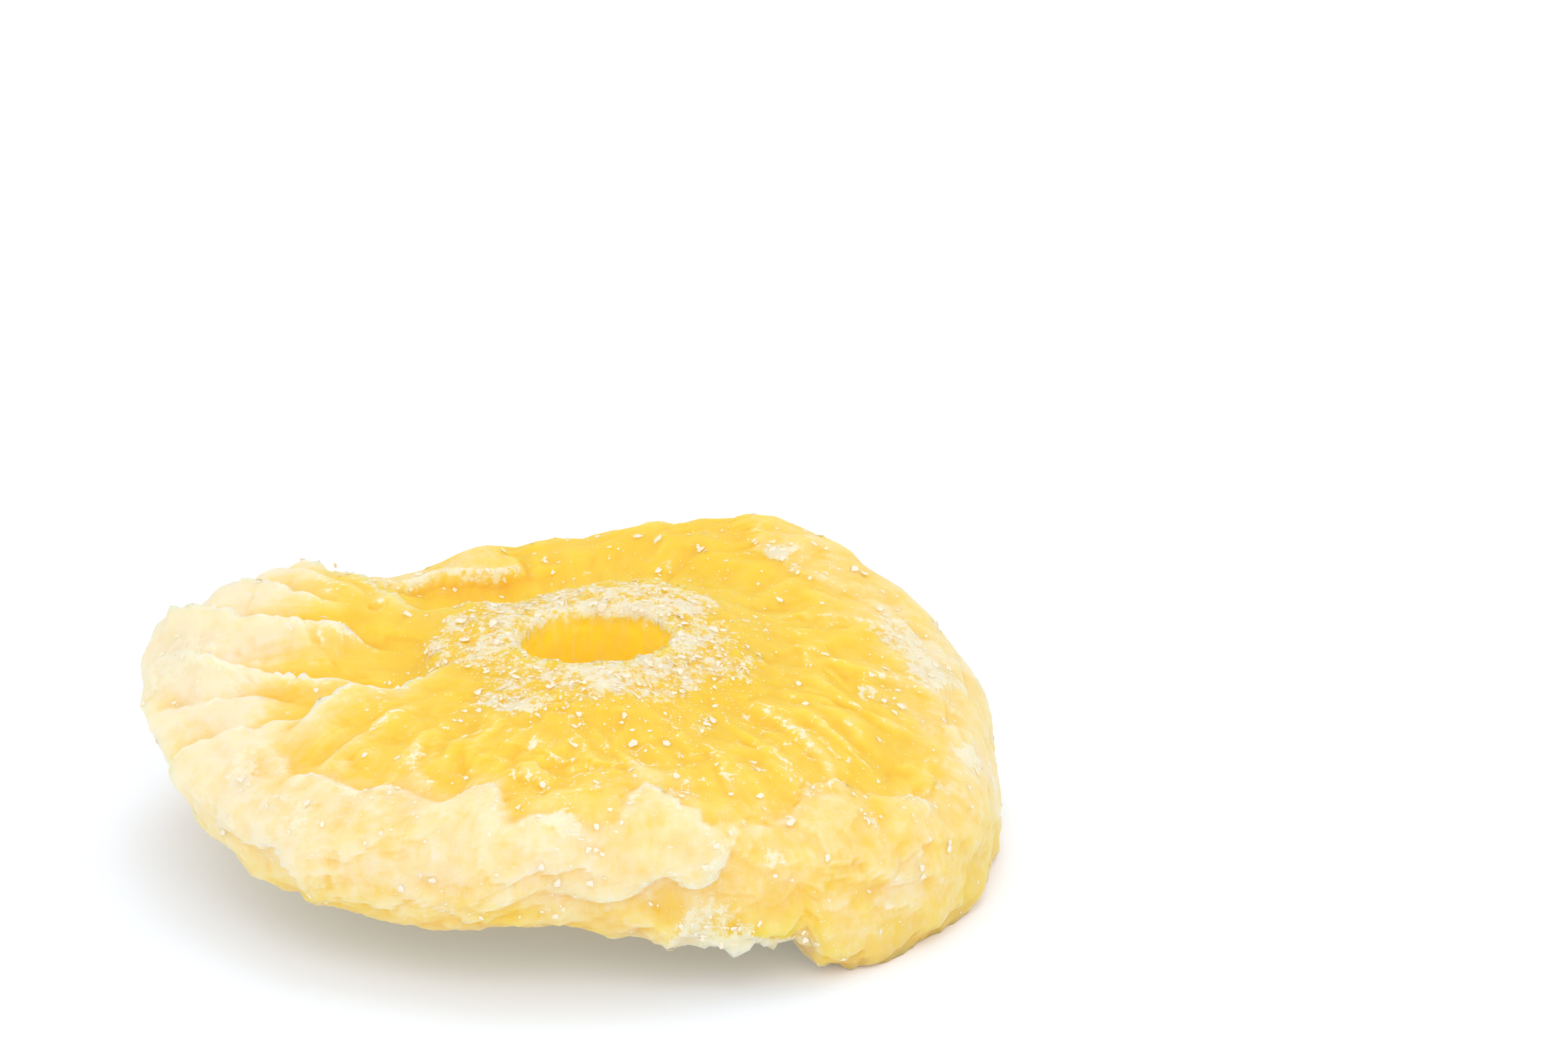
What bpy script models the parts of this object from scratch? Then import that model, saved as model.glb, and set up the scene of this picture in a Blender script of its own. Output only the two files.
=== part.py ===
"""A dried pineapple ring: one thick cored slice, domed and curled by drying.

Metres, +Z up, standing on Z = 0. The origin is below the middle of the ring's outline.
Bearings run round the hole from +X (0 degrees) towards +Y (90 degrees); the front is -Y.
"""

import math

import bpy
import numpy as np
from mathutils import Vector, noise

MM = 0.001

# Mesh fineness: rows of faces round the hole, and round the slice's own section.
AROUND = 128
SECTION = 46

# The core: a slightly oval hole bored through the slice, inside a tough raised ring.
HOLE_AT = (2.4 * MM, -0.9 * MM)
HOLE_RADIUS = 5.9 * MM
HOLE_OVAL = 0.07
HOLE_OVAL_BEARING = 25.0
CORE_RADIUS = 15.6 * MM
CORE_TOP = 21.9 * MM
CORE_UNDERSIDE = 9.0 * MM
CORE_SWELL = 0.6 * MM

# A moat round the core where the flesh has shrunk, deepest behind it.
MOAT_RADIUS = 20.3 * MM
MOAT_WIDTH = 3.4 * MM
MOAT_DEPTH = 0.5 * MM
BACK_MOAT_DEPTH = 3.0 * MM
BACK_MOAT_BEARING = 95.0
BACK_MOAT_SPAN_DEG = 38.0

# How the slice is bent by drying, at a few bearings round its rim:
# bearing in degrees, then the rim's radius, upper edge and underside in millimetres.
# An underside below 0 is pressed flat where the ring rests.
RIM_STATIONS = (
    (0, 34.9, 12.4, -3.0),
    (15, 35.5, 14.2, -3.0),
    (30, 36.2, 17.0, -1.5),
    (46, 36.0, 19.8, 1.5),
    (61, 35.6, 21.4, 4.0),
    (74, 34.8, 21.6, 6.0),
    (88, 33.8, 19.2, 6.0),
    (101, 33.6, 18.4, 4.0),
    (113, 34.6, 15.6, 0.0),
    (127, 37.2, 13.0, -4.0),
    (141, 37.0, 17.8, -3.5),
    (152, 37.6, 19.4, 0.0),
    (162, 38.2, 18.8, 5.5),
    (172, 38.9, 18.0, 9.5),
    (182, 39.9, 17.0, 11.0),
    (190, 37.8, 16.0, 10.2),
    (199, 36.8, 15.4, 8.0),
    (215, 35.8, 16.2, 5.8),
    (235, 34.4, 17.0, 3.8),
    (252, 32.4, 18.6, 5.2),
    (270, 31.2, 19.0, 5.0),
    (287, 31.8, 17.6, 3.6),
    (299, 33.0, 15.6, 3.8),
    (306, 33.4, 14.8, -1.0),
    (316, 33.4, 13.8, -3.6),
    (328, 34.2, 12.6, -3.2),
    (340, 34.6, 11.8, -3.0),
)
STATION_EASE_DEG = 4.0

# How late each face bends towards the rim: 1 is a straight slope from the core.
TOP_BEND = 1.15
UNDERSIDE_BEND = 1.6

# Corner radii of the section, on a slice of typical width and thickness.
TYPICAL_WIDTH = 29.0 * MM
TYPICAL_THICKNESS = 14.0 * MM
RIM_TOP_CORNER = 4.6 * MM
RIM_FOOT_CORNER = 4.2 * MM
HOLE_CORNER = 1.6 * MM
CORNER_STEPS = 12
UNDERSIDE_SPARSENESS = 0.6
RIM_BULGE = 0.6 * MM

# A fold of flesh under the left of the slice, one of the places it rests on.
FOLD_AT = (-29.0 * MM, 10.0 * MM)
FOLD_SIZE = 5.0 * MM
FOLD_REACH = 7.0 * MM

# A shelf of flesh at the back left, which breaks off sharply towards the core.
SHELF_BEARING = 116.0
SHELF_SPAN_DEG = 9.0
SHELF_EDGE = 28.0 * MM
SHELF_HEIGHT = 2.4 * MM
SHELF_BREAK = 0.6 * MM

# The fruitlets: wedges of flesh that overlap like shingles round the core.
# Each starts with a sharp lip at its bearing and slopes down to the next one.
WEDGE_LIPS_DEG = (4, 21, 38, 55, 73, 89, 103, 118, 133, 147, 158, 168) + (
    184, 198, 213, 228, 243, 258, 273, 288, 303, 318, 334, 349
)
WEDGE_LIP_SHARE = 0.16
WEDGE_FALL = 0.78
WEDGE_WANDER_DEG = 4.0
WEDGE_WANDER_SIZE = 13.0 * MM
WEDGE_RELIEF = 1.9 * MM
LOBE_RELIEF = 1.3 * MM

# The wedges stand out most at the left, at this bearing, and least opposite it.
BOLD_BEARING = 205.0
WEDGE_STRENGTH = 0.65
BOLD_STRENGTH = 0.35
UNEVEN_STRENGTH = 0.2

# Broken plates of flesh on the rim, and the swell of shrunken flesh all over.
PLATE_SIZE = 8.5 * MM
PLATE_RELIEF = 1.5 * MM
SWELL_SIZE = 11.0 * MM
SWELL_RELIEF = 1.1 * MM
CRUMPLE_SIZE = 4.5 * MM
CRUMPLE_RELIEF = 0.55 * MM
CORE_CALM = 0.75

# A torn flap that hangs from the front of the rim, and the gap beside it.
FLAP_BEARING = 289.0
FLAP_SPAN_DEG = 9.0
FLAP_REACH = 1.8 * MM
TEAR_BEARING = 302.0
TEAR_SPAN_DEG = 3.2
TEAR_DEPTH = 2.6 * MM

FLESH_COLOUR = (0.94, 0.62, 0.16, 1.0)
FLESH_ROUGHNESS = 0.45


def clear_scene():
    """Removes every object of the startup scene."""
    for thing in list(bpy.data.objects):
        bpy.data.objects.remove(thing)


def step(low, high, value):
    """0 at low, 1 at high, and a smooth change between them; low may be above high."""
    share = np.clip((value - low) / (high - low), 0.0, 1.0)
    return share * share * (3.0 - 2.0 * share)


def bump(distance, width):
    """1 at no distance, fading to nothing about two widths away."""
    return np.exp(-0.5 * (distance / width) ** 2)


def near_bearing(bearing, middle, span):
    """1 at the middle bearing, fading to nothing about two spans to each side."""
    return bump((bearing - middle + 180.0) % 360.0 - 180.0, span)


def around(bearings, values):
    """A smooth closed curve of bearing, in degrees, that follows the stations."""
    fine = np.arange(0.0, 360.0, 0.5)
    line = np.interp(fine, bearings, values, period=360.0)
    ease = near_bearing(fine, 0.0, STATION_EASE_DEG)
    eased = np.fft.ifft(np.fft.fft(line) * np.fft.fft(ease / ease.sum())).real
    return lambda bearing: np.interp(bearing, fine, eased, period=360.0)


def section_path(count):
    """The slice's section as count points (across, up), each from -1 to 1.

    It starts at the middle of the rim and runs up, over the top, down the hole and back.
    """
    half_width = TYPICAL_WIDTH / 2
    half_height = TYPICAL_THICKNESS / 2
    corners = (
        (1, 1, RIM_TOP_CORNER, 0),
        (-1, 1, HOLE_CORNER, 90),
        (-1, -1, HOLE_CORNER, 180),
        (1, -1, RIM_FOOT_CORNER, 270),
    )
    points = [(half_width, 0.0)]
    for side, up, radius, start in corners:
        for turn in np.radians(np.linspace(start, start + 90, CORNER_STEPS + 1)):
            across = side * (half_width - radius) + radius * math.cos(turn)
            points.append((across, up * (half_height - radius) + radius * math.sin(turn)))
    points.append((half_width, 0.0))
    line = np.array(points)
    steps = np.hypot(*np.diff(line, axis=0).T)
    under = np.maximum(line[1:, 1], line[:-1, 1]) < -0.9 * half_height
    steps = np.where(under, steps * UNDERSIDE_SPARSENESS, steps)
    walked = np.concatenate([[0.0], np.cumsum(steps)])
    wanted = np.arange(count) / count * walked[-1]
    across = np.interp(wanted, walked, line[:, 0]) / half_width
    up = np.interp(wanted, walked, line[:, 1]) / half_height
    return across, up


def noise_field(points, size, seed):
    """Smooth noise from about -1 to 1 at each point, its lumps about size across."""
    shift = Vector((seed * 3.7, seed * 1.9, seed * 5.3))
    flat = points.reshape(-1, 3) / size
    values = [noise.noise(Vector(point) + shift) for point in flat]
    return np.array(values).reshape(points.shape[:-1])


def plate_field(points, size, seed):
    """Broken plates: one height from 0 to 1 for each cell, falling off at its cracks."""
    shift = Vector((seed * 2.3, seed * 4.1, seed * 1.3))
    values = []
    for point in points.reshape(-1, 3) / size:
        distances, centres = noise.voronoi(Vector(point) + shift)
        crack = min(1.0, (distances[1] - distances[0]) * 3.0)
        height = 0.35 + 0.65 * abs(noise.cell(centres[0] * 7.0))
        values.append(height * crack)
    return np.array(values).reshape(points.shape[:-1])


def wedge_place(bearing):
    """How far each bearing lies across its wedge, from 0 to 1, and that wedge's number."""
    first = WEDGE_LIPS_DEG[0]
    edges = np.array(WEDGE_LIPS_DEG + (first + 360.0,))
    turned = (bearing - first) % 360.0 + first
    number = np.clip(np.searchsorted(edges, turned, side="right") - 1, 0, len(edges) - 2)
    share = (turned - edges[number]) / (edges[number + 1] - edges[number])
    return share, number


def shingle(share):
    """Height across one wedge: a sharp lip and a long slope behind it."""
    return step(0.0, WEDGE_LIP_SHARE, share) * (1.0 - WEDGE_FALL * share)


def top_height(bearing, share, radius):
    """The upper face: core, moat, shelf and the slope to the rim."""
    bearings, radii, tops, feet = np.array(RIM_STATIONS, float).T
    rim_top = around(bearings, tops)(bearing) * MM
    swell = CORE_SWELL * step(CORE_RADIUS * 1.1, CORE_RADIUS * 0.8, radius)
    behind = near_bearing(bearing, BACK_MOAT_BEARING, BACK_MOAT_SPAN_DEG)
    deep = MOAT_DEPTH + (BACK_MOAT_DEPTH - MOAT_DEPTH) * behind
    moat = deep * bump(radius - MOAT_RADIUS, MOAT_WIDTH)
    shelf = SHELF_HEIGHT * step(SHELF_EDGE - SHELF_BREAK, SHELF_EDGE + SHELF_BREAK, radius)
    shelf = shelf * near_bearing(bearing, SHELF_BEARING, SHELF_SPAN_DEG)
    return CORE_TOP + (rim_top - CORE_TOP) * share**TOP_BEND + swell - moat + shelf


def foot_height(bearing, share, radius):
    """The underside: hollow under the core, with the fold, the flap and the tear."""
    bearings, radii, tops, feet = np.array(RIM_STATIONS, float).T
    rim_foot = around(bearings, feet)(bearing) * MM
    tear = TEAR_DEPTH * near_bearing(bearing, TEAR_BEARING, TEAR_SPAN_DEG)
    flap = FLAP_REACH / 2 * near_bearing(bearing, FLAP_BEARING, FLAP_SPAN_DEG)
    rim_foot = rim_foot + tear - flap
    turn = np.radians(bearing)
    away_x = radius * np.cos(turn) - FOLD_AT[0]
    away_y = radius * np.sin(turn) - FOLD_AT[1]
    fold = FOLD_REACH * bump(np.hypot(away_x, away_y), FOLD_SIZE)
    return CORE_UNDERSIDE + (rim_foot - CORE_UNDERSIDE) * share**UNDERSIDE_BEND - fold


def bent_slice(bearing, across, up):
    """The smooth bent slice: points for each bearing, in degrees, and place in the section."""
    bearings, radii, tops, feet = np.array(RIM_STATIONS, float).T
    rim = around(bearings, radii)(bearing) * MM
    turn = np.radians(bearing)
    oval = np.cos(2 * (turn - math.radians(HOLE_OVAL_BEARING)))
    hole = HOLE_RADIUS * (1.0 + HOLE_OVAL * oval)
    share = (across + 1.0) / 2.0
    flap = FLAP_REACH * near_bearing(bearing, FLAP_BEARING, FLAP_SPAN_DEG)
    radius = hole + (rim - hole) * share
    radius = radius + RIM_BULGE * (1.0 - up * up) * step(0.8, 1.0, across)
    radius = radius + flap * step(0.7, 1.0, across) * step(0.1, -0.8, up)
    top = top_height(bearing, share, radius)
    foot = foot_height(bearing, share, radius)
    height = foot + (top - foot) * (up + 1.0) / 2.0
    return np.stack([radius * np.cos(turn), radius * np.sin(turn), height], axis=-1)


def outward(points):
    """The outward normal at each point of a grid that closes on itself both ways."""
    along = np.roll(points, -1, axis=0) - np.roll(points, 1, axis=0)
    over = np.roll(points, -1, axis=1) - np.roll(points, 1, axis=1)
    normal = np.cross(along, over)
    return normal / np.maximum(np.linalg.norm(normal, axis=-1, keepdims=True), 1e-12)


def flesh_relief(points, bearing, across, up):
    """How far the flesh stands out from the smooth slice: wedges, plates and crumples."""
    radius = np.hypot(points[..., 0], points[..., 1])
    beyond_core = step(CORE_RADIUS, CORE_RADIUS * 1.7, radius)
    wander = noise_field(points, WEDGE_WANDER_SIZE, 1) * WEDGE_WANDER_DEG
    share, number = wedge_place(bearing + wander)
    bold = BOLD_STRENGTH * np.cos(np.radians(bearing - BOLD_BEARING))
    tall = WEDGE_STRENGTH + bold + UNEVEN_STRENGTH * np.sin(number * 2.4)
    upper_side = step(-0.7, 0.5, up)
    rim_side = step(0.55, 1.0, across)
    rim_edge = step(0.7, 1.0, across)
    wedges = WEDGE_RELIEF * tall * (shingle(share) - 0.5) * beyond_core * upper_side
    lobes = LOBE_RELIEF * tall * (np.sin(np.pi * share) - 0.7) * rim_edge
    plates = PLATE_RELIEF * (plate_field(points, PLATE_SIZE, 2) - 0.5) * rim_side
    swell = SWELL_RELIEF * noise_field(points, SWELL_SIZE, 3)
    crumple = CRUMPLE_RELIEF * noise_field(points, CRUMPLE_SIZE, 4)
    calm = 1.0 - CORE_CALM * step(CORE_RADIUS * 1.1, CORE_RADIUS * 0.7, radius)
    return wedges + lobes + plates + (swell + crumple) * calm


def ring_points(around_count, section_count):
    """The finished ring as a grid of points, one row for each bearing."""
    across, up = section_path(section_count)
    bearings = np.arange(around_count) * 360.0 / around_count
    bearing, across = np.meshgrid(bearings, across, indexing="ij")
    up = np.broadcast_to(up, across.shape)
    smooth = bent_slice(bearing, across, up)
    relief = flesh_relief(smooth, bearing, across, up)
    points = smooth + outward(smooth) * relief[..., None]
    points[..., 0] += HOLE_AT[0]
    points[..., 1] += HOLE_AT[1]
    points[..., 2] = np.maximum(points[..., 2], 0.0)
    return points


def flesh_material():
    """Sugared pineapple flesh, a soft warm yellow."""
    material = bpy.data.materials.new("sugared_flesh")
    material.use_nodes = True
    shader = material.node_tree.nodes["Principled BSDF"]
    shader.inputs["Base Color"].default_value = FLESH_COLOUR
    shader.inputs["Roughness"].default_value = FLESH_ROUGHNESS
    shader.inputs["Metallic"].default_value = 0.0
    return material


def pineapple_ring(collection):
    """A torus, each of its points moved to its place on the slice."""
    middle = HOLE_RADIUS + TYPICAL_WIDTH / 2
    bpy.ops.mesh.primitive_torus_add(
        major_segments=AROUND,
        minor_segments=SECTION,
        major_radius=middle,
        minor_radius=TYPICAL_THICKNESS / 2,
    )
    ring = bpy.context.object
    ring.name = "pineapple_ring"
    mesh = ring.data
    mesh.name = "pineapple_ring"
    start = np.array([vertex.co for vertex in mesh.vertices])
    turn = np.arctan2(start[:, 1], start[:, 0])
    tilt = np.arctan2(start[:, 2], np.hypot(start[:, 0], start[:, 1]) - middle)
    row = np.rint(turn / (2 * np.pi) * AROUND).astype(int) % AROUND
    column = np.rint(tilt / (2 * np.pi) * SECTION).astype(int) % SECTION
    mesh.vertices.foreach_set("co", ring_points(AROUND, SECTION)[row, column].ravel())
    mesh.update()
    mesh.shade_smooth()
    mesh.materials.clear()
    mesh.materials.append(flesh_material())
    for owner in ring.users_collection:
        owner.objects.unlink(ring)
    collection.objects.link(ring)


def main():
    clear_scene()
    parts = bpy.data.collections.new("dried_pineapple_ring")
    bpy.context.scene.collection.children.link(parts)
    pineapple_ring(parts)


main()
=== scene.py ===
# %% [markdown]
# # Dried pineapple ring
#
# A thick, cored slice of pineapple, cooked in sugar and dried. Drying shrinks the soft
# flesh more than the tough core, so the slice domes, its petals of flesh slide over one
# another, and its rim breaks into thin pale plates. Sugar dries out on it as frost.
#
# The imported model gives the frame: its one body, its place and its size. The slice made
# here is fitted inside that model's box.

import math

import bpy
import numpy as np
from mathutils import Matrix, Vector, noise
from mathutils.bvhtree import BVHTree


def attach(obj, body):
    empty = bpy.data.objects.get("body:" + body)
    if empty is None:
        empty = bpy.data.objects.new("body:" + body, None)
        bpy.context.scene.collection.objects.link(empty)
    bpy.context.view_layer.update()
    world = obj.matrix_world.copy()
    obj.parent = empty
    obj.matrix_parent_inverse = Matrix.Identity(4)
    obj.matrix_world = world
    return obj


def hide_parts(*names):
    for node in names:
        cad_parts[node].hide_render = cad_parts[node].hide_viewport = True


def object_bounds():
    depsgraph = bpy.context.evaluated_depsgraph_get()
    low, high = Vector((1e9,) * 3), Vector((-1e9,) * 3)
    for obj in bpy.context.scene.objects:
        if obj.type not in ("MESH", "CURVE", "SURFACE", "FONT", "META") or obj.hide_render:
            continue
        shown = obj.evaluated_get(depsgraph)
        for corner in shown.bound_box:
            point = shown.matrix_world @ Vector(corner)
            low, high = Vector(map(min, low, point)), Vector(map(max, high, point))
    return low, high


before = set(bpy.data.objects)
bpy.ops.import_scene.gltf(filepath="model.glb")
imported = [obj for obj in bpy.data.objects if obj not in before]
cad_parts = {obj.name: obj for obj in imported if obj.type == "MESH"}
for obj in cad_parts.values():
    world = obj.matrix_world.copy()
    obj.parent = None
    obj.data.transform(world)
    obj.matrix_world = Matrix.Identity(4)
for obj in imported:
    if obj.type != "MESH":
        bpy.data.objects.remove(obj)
cad_box = [list(corner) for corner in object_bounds()]
bpy.ops.object.select_all(action="DESELECT")

MM = 0.001
NODE = "pineapple_ring"
print("CAD box in mm:", [[round(v / MM, 2) for v in corner] for corner in cad_box])

# %% [markdown]
# ## Small tools
#
# A few curves are used over and over. A smooth step blends from one look to another, a bump
# marks a place, and noise makes the flesh uneven. The noise comes from fixed places in
# Blender's own noise, so it is the same each time the script runs.

# %% Steps, bumps and noise
SEED_STRIDE = (3.7, 1.9, 5.3)
AXIS_SEED_STEP = 40
CURVE_STEP_DEG = 0.25


def step(low, high, value):
    """0 at low, 1 at high, and a smooth change between them; low may be above high."""
    share = np.clip((value - low) / (high - low), 0.0, 1.0)
    return share * share * (3.0 - 2.0 * share)


def bump(distance, width):
    """1 at no distance, fading to nothing about two widths away."""
    return np.exp(-0.5 * (distance / width) ** 2)


def turned(bearing, start):
    """The turn in degrees from start to bearing, from -180 to 180."""
    return (bearing - start + 180.0) % 360.0 - 180.0


def noise_field(points, size, seed):
    """Smooth noise from about -1 to 1 at each point, its lumps about size across."""
    shift = Vector([seed * stride for stride in SEED_STRIDE])
    flat = points.reshape(-1, 3) / size
    values = [noise.noise(Vector(point) + shift) for point in flat]
    return np.array(values).reshape(points.shape[:-1])


def noise_push(points, size, seed, reach):
    """Each point moved by smooth noise, up to about reach, to make a straight edge ragged."""
    pushes = [noise_field(points, size, seed + AXIS_SEED_STEP * axis) for axis in range(3)]
    return points + reach * np.stack(pushes, axis=-1)


def around(stations, column, ease):
    """A closed curve of bearing through one column of the stations, eased over ease degrees."""
    fine = np.arange(0.0, 360.0, CURVE_STEP_DEG)
    line = np.interp(fine, [s[0] for s in stations], [s[column] for s in stations], period=360.0)
    spread = bump(turned(fine, 0.0), ease)
    eased = np.fft.ifft(np.fft.fft(line) * np.fft.fft(spread / spread.sum())).real
    return lambda bearing: np.interp(bearing, fine, eased, period=360.0) * MM


print("half way up a step:", step(0.0, 1.0, 0.5))

# %% [markdown]
# ## The slice
#
# The slice is a tube bent into a ring, so it starts as a torus. Its cross-section isn't
# round: it runs from the middle of the rim over the top, down the hole and back under.
# Drying bent it differently all the way round, so a few stations give the rim's radius,
# upper edge and underside by bearing. Bearings run from +X (0) towards +Y (90), the back.
# It could also be sculpted by hand, but stations can be read, checked and changed.

# %% Sizes of the slice
AROUND = 560
SECTION = 178
FRONT_BEARING = 270.0
FRONT_FINENESS_DEG = 20.0

HOLE_AT = (2.4 * MM, -0.9 * MM)
HOLE_RADIUS = 5.9 * MM
HOLE_OVAL = 0.07
HOLE_OVAL_BEARING = 25.0
CORE_RADIUS = 15.6 * MM
CORE_TOP = 21.9 * MM
CORE_UNDERSIDE = 9.0 * MM
CORE_SWELL = 0.6 * MM

MOAT_RADIUS = 20.3 * MM
MOAT_WIDTH = 3.4 * MM
MOAT_DEPTH = 0.5 * MM
BACK_MOAT_DEPTH = 3.0 * MM
BACK_MOAT_BEARING = 95.0
BACK_MOAT_SPAN_DEG = 38.0

# Bearing in degrees, then the rim's radius, upper edge and underside in millimetres.
RIM_STATIONS = (
    (0, 34.9, 12.4, -3.0),
    (15, 35.5, 14.2, -3.0),
    (30, 36.2, 17.0, -1.5),
    (46, 36.0, 19.8, 1.5),
    (61, 35.6, 21.4, 4.0),
    (74, 34.8, 21.6, 6.0),
    (88, 33.8, 19.2, 6.0),
    (101, 33.6, 18.4, 4.0),
    (113, 34.6, 15.6, 0.0),
    (127, 37.2, 13.0, -4.0),
    (141, 37.0, 18.8, -3.5),
    (152, 37.6, 21.3, 0.0),
    (162, 38.2, 20.8, 5.5),
    (172, 38.9, 19.4, 9.5),
    (182, 39.9, 17.0, 12.0),
    (190, 37.2, 16.0, 10.6),
    (199, 36.8, 15.4, 8.0),
    (215, 35.8, 16.2, 5.8),
    (235, 34.4, 17.0, 3.8),
    (252, 32.4, 18.6, 5.2),
    (270, 31.2, 19.0, 5.0),
    (287, 31.8, 17.6, 3.6),
    (299, 33.0, 15.6, 3.8),
    (306, 33.4, 14.8, -1.0),
    (316, 33.4, 13.8, -3.6),
    (328, 34.2, 12.6, -3.2),
    (340, 34.6, 11.8, -3.0),
)
STATION_EASE_DEG = 4.0
TOP_BEND = 1.15
UNDERSIDE_BEND = 1.6

TYPICAL_WIDTH = 29.0 * MM
TYPICAL_THICKNESS = 14.0 * MM
RIM_TOP_CORNER = 4.6 * MM
RIM_FOOT_CORNER = 4.2 * MM
HOLE_CORNER = 1.6 * MM
CORNER_STEPS = 12
UNDERSIDE_SPARSENESS = 0.3
RIM_BULGE = 0.6 * MM

FOLD_AT = (-29.0 * MM, 10.0 * MM)
FOLD_SIZE = 5.0 * MM
FOLD_REACH = 7.0 * MM

FLAP_BEARING = 291.0
FLAP_SPAN_DEG = 9.0
FLAP_REACH = 1.8 * MM
TEAR_BEARING = 302.5
TEAR_SPAN_DEG = 1.6
TEAR_DEPTH = 2.4 * MM
print("stations round the rim:", len(RIM_STATIONS))

# %% The smooth bent slice
rim_radius = around(RIM_STATIONS, 1, STATION_EASE_DEG)
rim_top = around(RIM_STATIONS, 2, STATION_EASE_DEG)
rim_foot = around(RIM_STATIONS, 3, STATION_EASE_DEG)


def section_path(count):
    """The slice's section as count points (across, up), each from -1 to 1."""
    half_width = TYPICAL_WIDTH / 2
    half_height = TYPICAL_THICKNESS / 2
    corners = (
        (1, 1, RIM_TOP_CORNER, 0),
        (-1, 1, HOLE_CORNER, 90),
        (-1, -1, HOLE_CORNER, 180),
        (1, -1, RIM_FOOT_CORNER, 270),
    )
    points = [(half_width, 0.0)]
    for side, up, radius, start in corners:
        for turn in np.radians(np.linspace(start, start + 90, CORNER_STEPS + 1)):
            across = side * (half_width - radius) + radius * math.cos(turn)
            points.append((across, up * (half_height - radius) + radius * math.sin(turn)))
    points.append((half_width, 0.0))
    line = np.array(points)
    steps = np.hypot(*np.diff(line, axis=0).T)
    under = np.maximum(line[1:, 1], line[:-1, 1]) < -0.9 * half_height
    steps = np.where(under, steps * UNDERSIDE_SPARSENESS, steps)
    walked = np.concatenate([[0.0], np.cumsum(steps)])
    wanted = np.arange(count) / count * walked[-1]
    across = np.interp(wanted, walked, line[:, 0]) / half_width
    up = np.interp(wanted, walked, line[:, 1]) / half_height
    return across, up


def top_height(bearing, share, radius):
    """The upper face: core, moat and the slope to the rim."""
    swell = CORE_SWELL * step(CORE_RADIUS * 1.1, CORE_RADIUS * 0.8, radius)
    behind = bump(turned(bearing, BACK_MOAT_BEARING), BACK_MOAT_SPAN_DEG)
    deep = MOAT_DEPTH + (BACK_MOAT_DEPTH - MOAT_DEPTH) * behind
    moat = deep * bump(radius - MOAT_RADIUS, MOAT_WIDTH)
    slope = (rim_top(bearing) - CORE_TOP) * share**TOP_BEND
    return CORE_TOP + slope + swell - moat


def foot_height(bearing, share, radius):
    """The underside: hollow under the core, with the fold, the flap and the tear."""
    tear = TEAR_DEPTH * bump(turned(bearing, TEAR_BEARING), TEAR_SPAN_DEG)
    flap = FLAP_REACH / 2 * bump(turned(bearing, FLAP_BEARING), FLAP_SPAN_DEG)
    foot = rim_foot(bearing) + tear - flap
    turn = np.radians(bearing)
    away_x = radius * np.cos(turn) - FOLD_AT[0]
    away_y = radius * np.sin(turn) - FOLD_AT[1]
    fold = FOLD_REACH * bump(np.hypot(away_x, away_y), FOLD_SIZE)
    return CORE_UNDERSIDE + (foot - CORE_UNDERSIDE) * share**UNDERSIDE_BEND - fold


def bent_slice(bearing, across, up):
    """The smooth bent slice: points for each bearing, in degrees, and place in the section."""
    turn = np.radians(bearing)
    oval = np.cos(2 * (turn - math.radians(HOLE_OVAL_BEARING)))
    hole = HOLE_RADIUS * (1.0 + HOLE_OVAL * oval)
    share = (across + 1.0) / 2.0
    flap = FLAP_REACH * bump(turned(bearing, FLAP_BEARING), FLAP_SPAN_DEG)
    radius = hole + (rim_radius(bearing) - hole) * share
    radius = radius + RIM_BULGE * (1.0 - up * up) * step(0.8, 1.0, across)
    radius = radius + flap * step(0.7, 1.0, across) * step(0.1, -0.8, up)
    top = top_height(bearing, share, radius)
    foot = foot_height(bearing, share, radius)
    height = foot + (top - foot) * (up + 1.0) / 2.0
    return np.stack([radius * np.cos(turn), radius * np.sin(turn), height], axis=-1)


def outward(points):
    """The outward normal at each point of a grid that closes on itself both ways."""
    along = np.roll(points, -1, axis=0) - np.roll(points, 1, axis=0)
    over = np.roll(points, -1, axis=1) - np.roll(points, 1, axis=1)
    normal = np.cross(along, over)
    return normal / np.maximum(np.linalg.norm(normal, axis=-1, keepdims=True), 1e-12)


section_across, section_up = section_path(SECTION)
even = np.arange(AROUND) * 360.0 / AROUND
bearings = even - FRONT_FINENESS_DEG * np.sin(np.radians(even - FRONT_BEARING))
bearing, across = np.meshgrid(bearings % 360.0, section_across, indexing="ij")
up = np.broadcast_to(section_up, across.shape)
smooth = bent_slice(bearing, across, up)
radius = np.hypot(smooth[..., 0], smooth[..., 1])
height = smooth[..., 2]
print("grid:", smooth.shape[:2], "rim radius in mm:", round(radius.max() / MM, 1))

# %% [markdown]
# ## Ragged places
#
# Flesh tears along its fibres, so no edge on it is clean. A torn line could be drawn point
# by point. Here every edge below is drawn where each point would be if noise had pushed it
# about, which turns any smooth line into a torn one.

# %% Ragged bearing, radius and height
WIDE_RAG_SIZE = 5.0 * MM
WIDE_RAG = 1.4 * MM
FINE_RAG_SIZE = 1.3 * MM
FINE_RAG = 0.3 * MM
RAG_FINENESS = 2.4


def polar(points):
    """Each point's bearing in degrees and radius from the hole."""
    bearing = np.degrees(np.arctan2(points[..., 1], points[..., 0])) % 360.0
    return bearing, np.hypot(points[..., 0], points[..., 1])


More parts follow.
